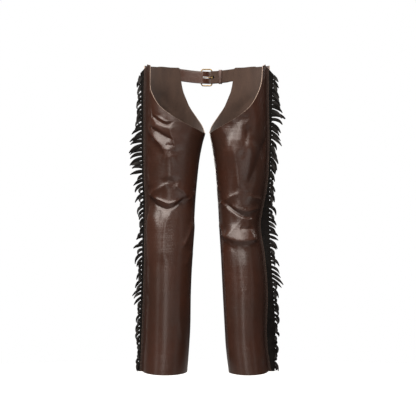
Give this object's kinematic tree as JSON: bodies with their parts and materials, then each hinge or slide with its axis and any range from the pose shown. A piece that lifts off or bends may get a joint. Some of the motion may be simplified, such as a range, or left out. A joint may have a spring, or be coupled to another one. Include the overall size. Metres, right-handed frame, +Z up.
{
  "type": "leather chaps",
  "caption": "Dark brown leather chaps with open seat and front, black leather fringe down both outer seams and a buckled front belt, in their worn hollow form.",
  "frame": {"origin": "centre of the waist opening, at the belt's height, where the wearer holds the garment up", "axes": "+Z up, -Y the wearer's front, +X the wearer's left"},
  "size_m": [0.4736, 0.2356, 0.9302],
  "materials": {
    "brown_leather": "smooth glossy pull-up leather",
    "black_leather": "matte black leather cut into fringe",
    "belt_leather": "smooth satin strap leather",
    "antique_brass": "satin antique brass"
  },
  "bodies": {
    "root": {"left_back_panel": "brown_leather", "left_front_panel": "brown_leather", "right_back_panel": "brown_leather", "right_front_panel": "brown_leather", "left_fringe": "black_leather", "right_fringe": "black_leather", "left_belt": "belt_leather", "right_belt": "belt_leather", "belt_keeper": "belt_leather", "buckle_frame": "antique_brass", "buckle_prong": "antique_brass", "left_loop_rivet": "antique_brass", "left_corner_rivet": "antique_brass", "right_loop_rivet": "antique_brass", "right_corner_rivet": "antique_brass"}
  },
  "joints": []
}
